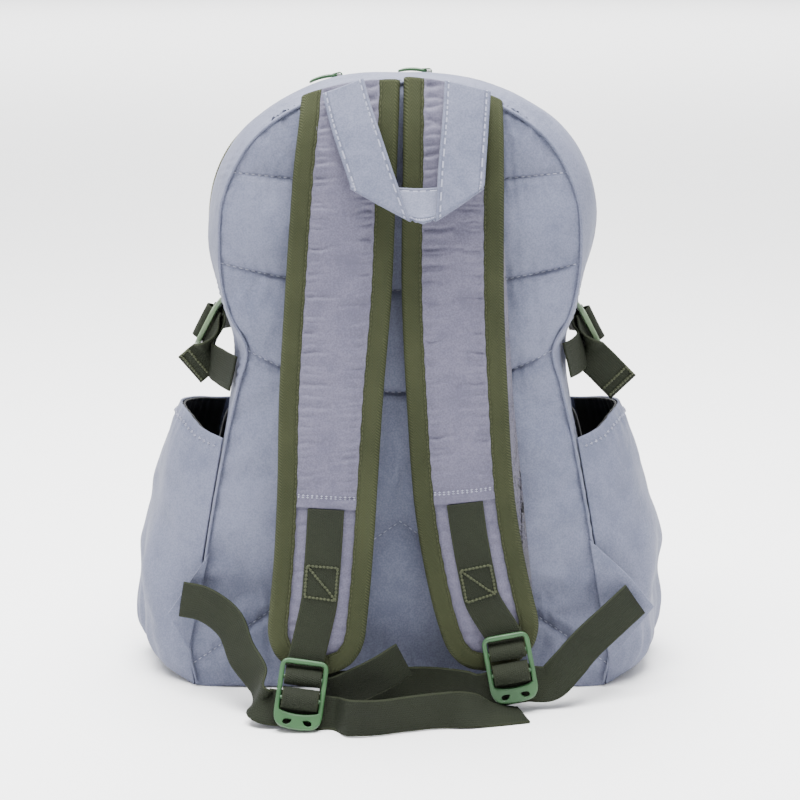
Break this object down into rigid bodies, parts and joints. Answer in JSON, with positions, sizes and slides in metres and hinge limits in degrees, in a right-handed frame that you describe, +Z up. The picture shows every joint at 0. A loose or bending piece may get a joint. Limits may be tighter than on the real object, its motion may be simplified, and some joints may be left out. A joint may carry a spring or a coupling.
{
  "type": "backpack",
  "caption": "Soft daypack with a quilted back, padded shoulder straps on adjustable webbing, grab loop, arched zip, open side pockets and side compression straps, standing on its base",
  "frame": {"origin": "on the floor, under the middle of the bag and its webbing (bottom centre of the bounding box)", "axes": "+Z up, -Y towards the harness side that rests on the wearer's back, +X to the right of someone who looks at the harness"},
  "size_m": [0.3928, 0.2716, 0.4366],
  "materials": {
    "nylon": "brushed nylon cloth, pale periwinkle grey",
    "strap_nylon": "soft nylon cloth, purple grey",
    "binding": "herringbone binding tape, olive",
    "webbing": "flat woven webbing, dark olive",
    "green_plastic": "satin moulded plastic, mid green",
    "pale_green_plastic": "satin moulded plastic, pale sage green",
    "lining": "black lining cloth",
    "zip_tape": "olive yellow zip tape and coil",
    "slider_metal": "satin silver metal"
  },
  "bodies": {
    "bag": {"back_panel": "nylon", "back_gusset": "nylon", "front_gusset": "nylon", "front_panel": "nylon", "base_panel": "nylon", "main_zip": "zip_tape", "zip_slider_a": "slider_metal", "zip_slider_b": "slider_metal", "side_pocket_left": "nylon", "pocket_lining_left": "lining", "strap_pad_left": "strap_nylon", "strap_cover_left": "strap_nylon", "strap_binding_left": "binding", "strap_webbing_left": "webbing", "ladder_buckle_left": "green_plastic", "adjuster_webbing_left": "webbing", "webbing_tab_left": "nylon", "side_buckle_left": "pale_green_plastic", "side_webbing_left": "webbing", "side_anchor_left": "webbing", "side_pocket_right": "nylon", "pocket_lining_right": "lining", "strap_pad_right": "strap_nylon", "strap_cover_right": "strap_nylon", "strap_binding_right": "binding", "strap_webbing_right": "webbing", "ladder_buckle_right": "green_plastic", "adjuster_webbing_right": "webbing", "webbing_tab_right": "nylon", "side_buckle_right": "pale_green_plastic", "side_webbing_right": "webbing", "side_anchor_right": "webbing", "grab_loop": "nylon"},
    "pull_a": {"zip_pull_a": "green_plastic"},
    "pull_b": {"zip_pull_b": "green_plastic"}
  },
  "joints": [
    {"name": "pull_a_hinge", "type": "hinge", "parent": "bag", "child": "pull_a", "pos_m": [0.02059, 0.04496, 0.43355], "axis": [0, 1, 0], "range_deg": [0, 160]},
    {"name": "pull_b_hinge", "type": "hinge", "parent": "bag", "child": "pull_b", "pos_m": [-0.04319, 0.04496, 0.43089], "axis": [0, 1, 0], "range_deg": [0, 160]}
  ]
}
